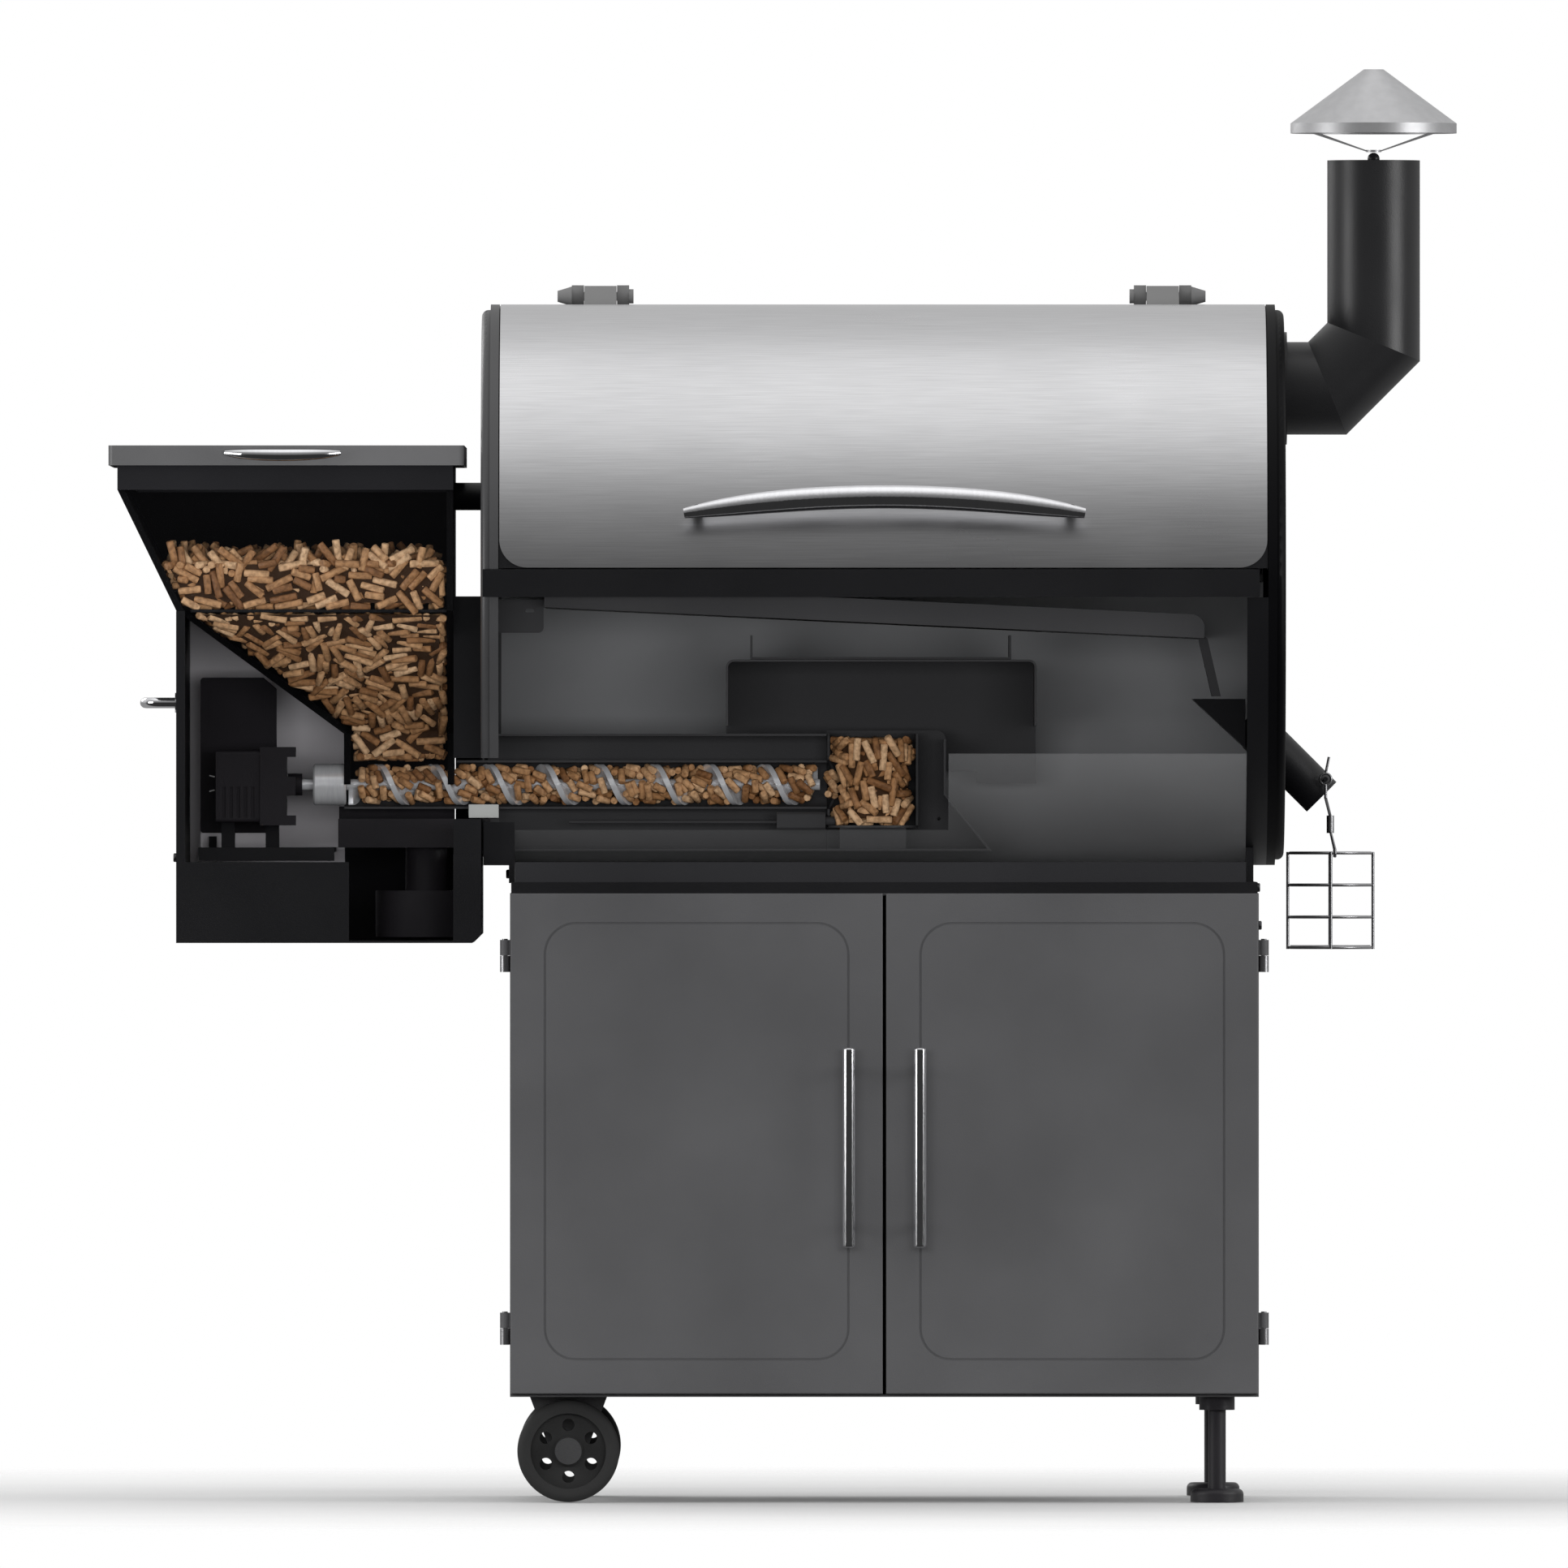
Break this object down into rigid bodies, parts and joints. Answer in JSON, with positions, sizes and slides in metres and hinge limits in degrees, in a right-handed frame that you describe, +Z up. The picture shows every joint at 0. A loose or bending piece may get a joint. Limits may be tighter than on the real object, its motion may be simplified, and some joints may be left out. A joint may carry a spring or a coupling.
{
  "type": "pellet smoker grill",
  "caption": "Cutaway pellet smoker grill: barrel drum with hinged lid, pellet hopper and auger feed to the burn pot, chimney, grease chute with cage, two-door cabinet.",
  "frame": {"origin": "middle of the footprint on the floor", "axes": "+X along the drum from the hopper to the chimney, -Y towards the person cooking, +Z up"},
  "size_m": [1.219, 0.553, 1.295],
  "materials": {
    "black_paint": "satin",
    "grey_paint": "satin",
    "brushed_lid": "brushed",
    "polished": "polished",
    "zinc": "satin",
    "grate_iron": "matte",
    "dark_plastic": "matte",
    "clear_window": "clear",
    "smoked_window": "clear",
    "wood_fuel": "matte",
    "tyre_rubber": "matte",
    "liner_grey": "satin",
    "wire_steel": "satin"
  },
  "bodies": {
    "grill": {"drum_shell": "black_paint", "left_end_cap": "black_paint", "right_end_cap": "black_paint", "front_rail": "black_paint", "smoked_front_panel": "smoked_window", "cooking_grates": "grate_iron", "warming_rack": "wire_steel", "lid_hinge_brackets": "grey_paint", "grease_tray": "black_paint", "heat_baffle": "black_paint", "baffle_tray": "black_paint", "burn_pot": "black_paint", "burn_pot_housing": "black_paint", "igniter": "wire_steel", "air_duct": "black_paint", "auger_tube": "black_paint", "tube_clamp": "zinc", "auger_motor": "black_paint", "hopper_bin": "black_paint", "hopper_window": "clear_window", "hopper_guard": "black_paint", "wood_pellets": "wood_fuel", "hopper_box": "black_paint", "box_liner": "liner_grey", "control_panel": "dark_plastic", "blower_housing": "dark_plastic", "hopper_stay": "black_paint", "side_handle": "polished", "hopper_hinges": "black_paint", "chimney_stack": "black_paint", "grease_chute": "black_paint", "temperature_probe": "wire_steel", "cabinet_shell": "grey_paint", "cabinet_frame": "black_paint", "frame_apron": "black_paint", "door_hinges": "wire_steel", "wheel_axle": "wire_steel", "levelling_feet": "dark_plastic", "fasteners": "wire_steel"},
    "lid": {"lid_pan": "black_paint", "lid_skin": "brushed_lid", "lid_handle": "polished", "lid_hinge_leaves": "grey_paint"},
    "hopper_lid": {"hopper_lid_panel": "grey_paint", "hopper_lid_handle": "polished"},
    "auger": {"auger_screw": "polished", "shaft_coupling": "polished"},
    "blower_fan": {"blower_wheel": "dark_plastic"},
    "dial": {"control_knob": "dark_plastic"},
    "chimney_stem": {"cap_stem": "black_paint"},
    "chimney_cover": {"chimney_cap": "zinc", "cap_bracket": "zinc"},
    "cup_holder": {"grease_cage": "wire_steel", "cage_bail": "wire_steel"},
    "left_cabinet_door": {"left_door": "grey_paint", "left_door_handle": "polished"},
    "right_cabinet_door": {"right_door": "grey_paint", "right_door_handle": "polished"},
    "wheel_in_front": {"front_wheel": "tyre_rubber"},
    "wheel_at_rear": {"rear_wheel": "tyre_rubber"}
  },
  "joints": [
    {"name": "lid_hinge", "type": "hinge", "parent": "grill", "child": "lid", "pos_m": [0.0905, 0.0885, 1.09], "axis": [-1, 0, 0], "range_deg": [0, 85]},
    {"name": "hopper_lid_hinge", "type": "hinge", "parent": "grill", "child": "hopper_lid", "pos_m": [-0.4495, 0.2255, 0.945], "axis": [-1, 0, 0], "range_deg": [0, 95]},
    {"name": "auger_spin", "type": "hinge", "parent": "grill", "child": "auger", "pos_m": [-0.1795, 0.0225, 0.647], "axis": [1, 0, 0], "continuous": true},
    {"name": "blower_spin", "type": "hinge", "parent": "grill", "child": "blower_fan", "pos_m": [-0.324, 0.0225, 0.53], "axis": [0, 0, 1], "continuous": true},
    {"name": "dial_turn", "type": "hinge", "parent": "grill", "child": "dial", "pos_m": [-0.4945, 0.0825, 0.648], "axis": [0, 1, 0], "range_deg": [0, 270]},
    {"name": "cap_height", "type": "slide", "parent": "grill", "child": "chimney_stem", "axis": [0, 0, 1], "range_m": [0, 0.02]},
    {"name": "cap_turn", "type": "hinge", "parent": "chimney_stem", "child": "chimney_cover", "pos_m": [0.5342, 0.0225, 1.2125], "axis": [0, 0, 1], "continuous": true},
    {"name": "cup_holder_swing", "type": "hinge", "parent": "grill", "child": "cup_holder", "pos_m": [0.4905, 0, 0.652], "axis": [0, -1, 0], "range_deg": [0, 25]},
    {"name": "left_door_hinge", "type": "hinge", "parent": "grill", "child": "left_cabinet_door", "pos_m": [-0.2515, -0.2085, 0.486], "axis": [0, 0, -1], "range_deg": [0, 110]},
    {"name": "right_door_hinge", "type": "hinge", "parent": "grill", "child": "right_cabinet_door", "pos_m": [0.4325, -0.2085, 0.486], "axis": [0, 0, 1], "range_deg": [0, 110]},
    {"name": "front_wheel_spin", "type": "hinge", "parent": "grill", "child": "wheel_in_front", "pos_m": [-0.1945, -0.1825, 0.046], "axis": [0, 1, 0], "continuous": true},
    {"name": "rear_wheel_spin", "type": "hinge", "parent": "grill", "child": "wheel_at_rear", "pos_m": [-0.1945, 0.2275, 0.046], "axis": [0, 1, 0], "continuous": true}
  ]
}
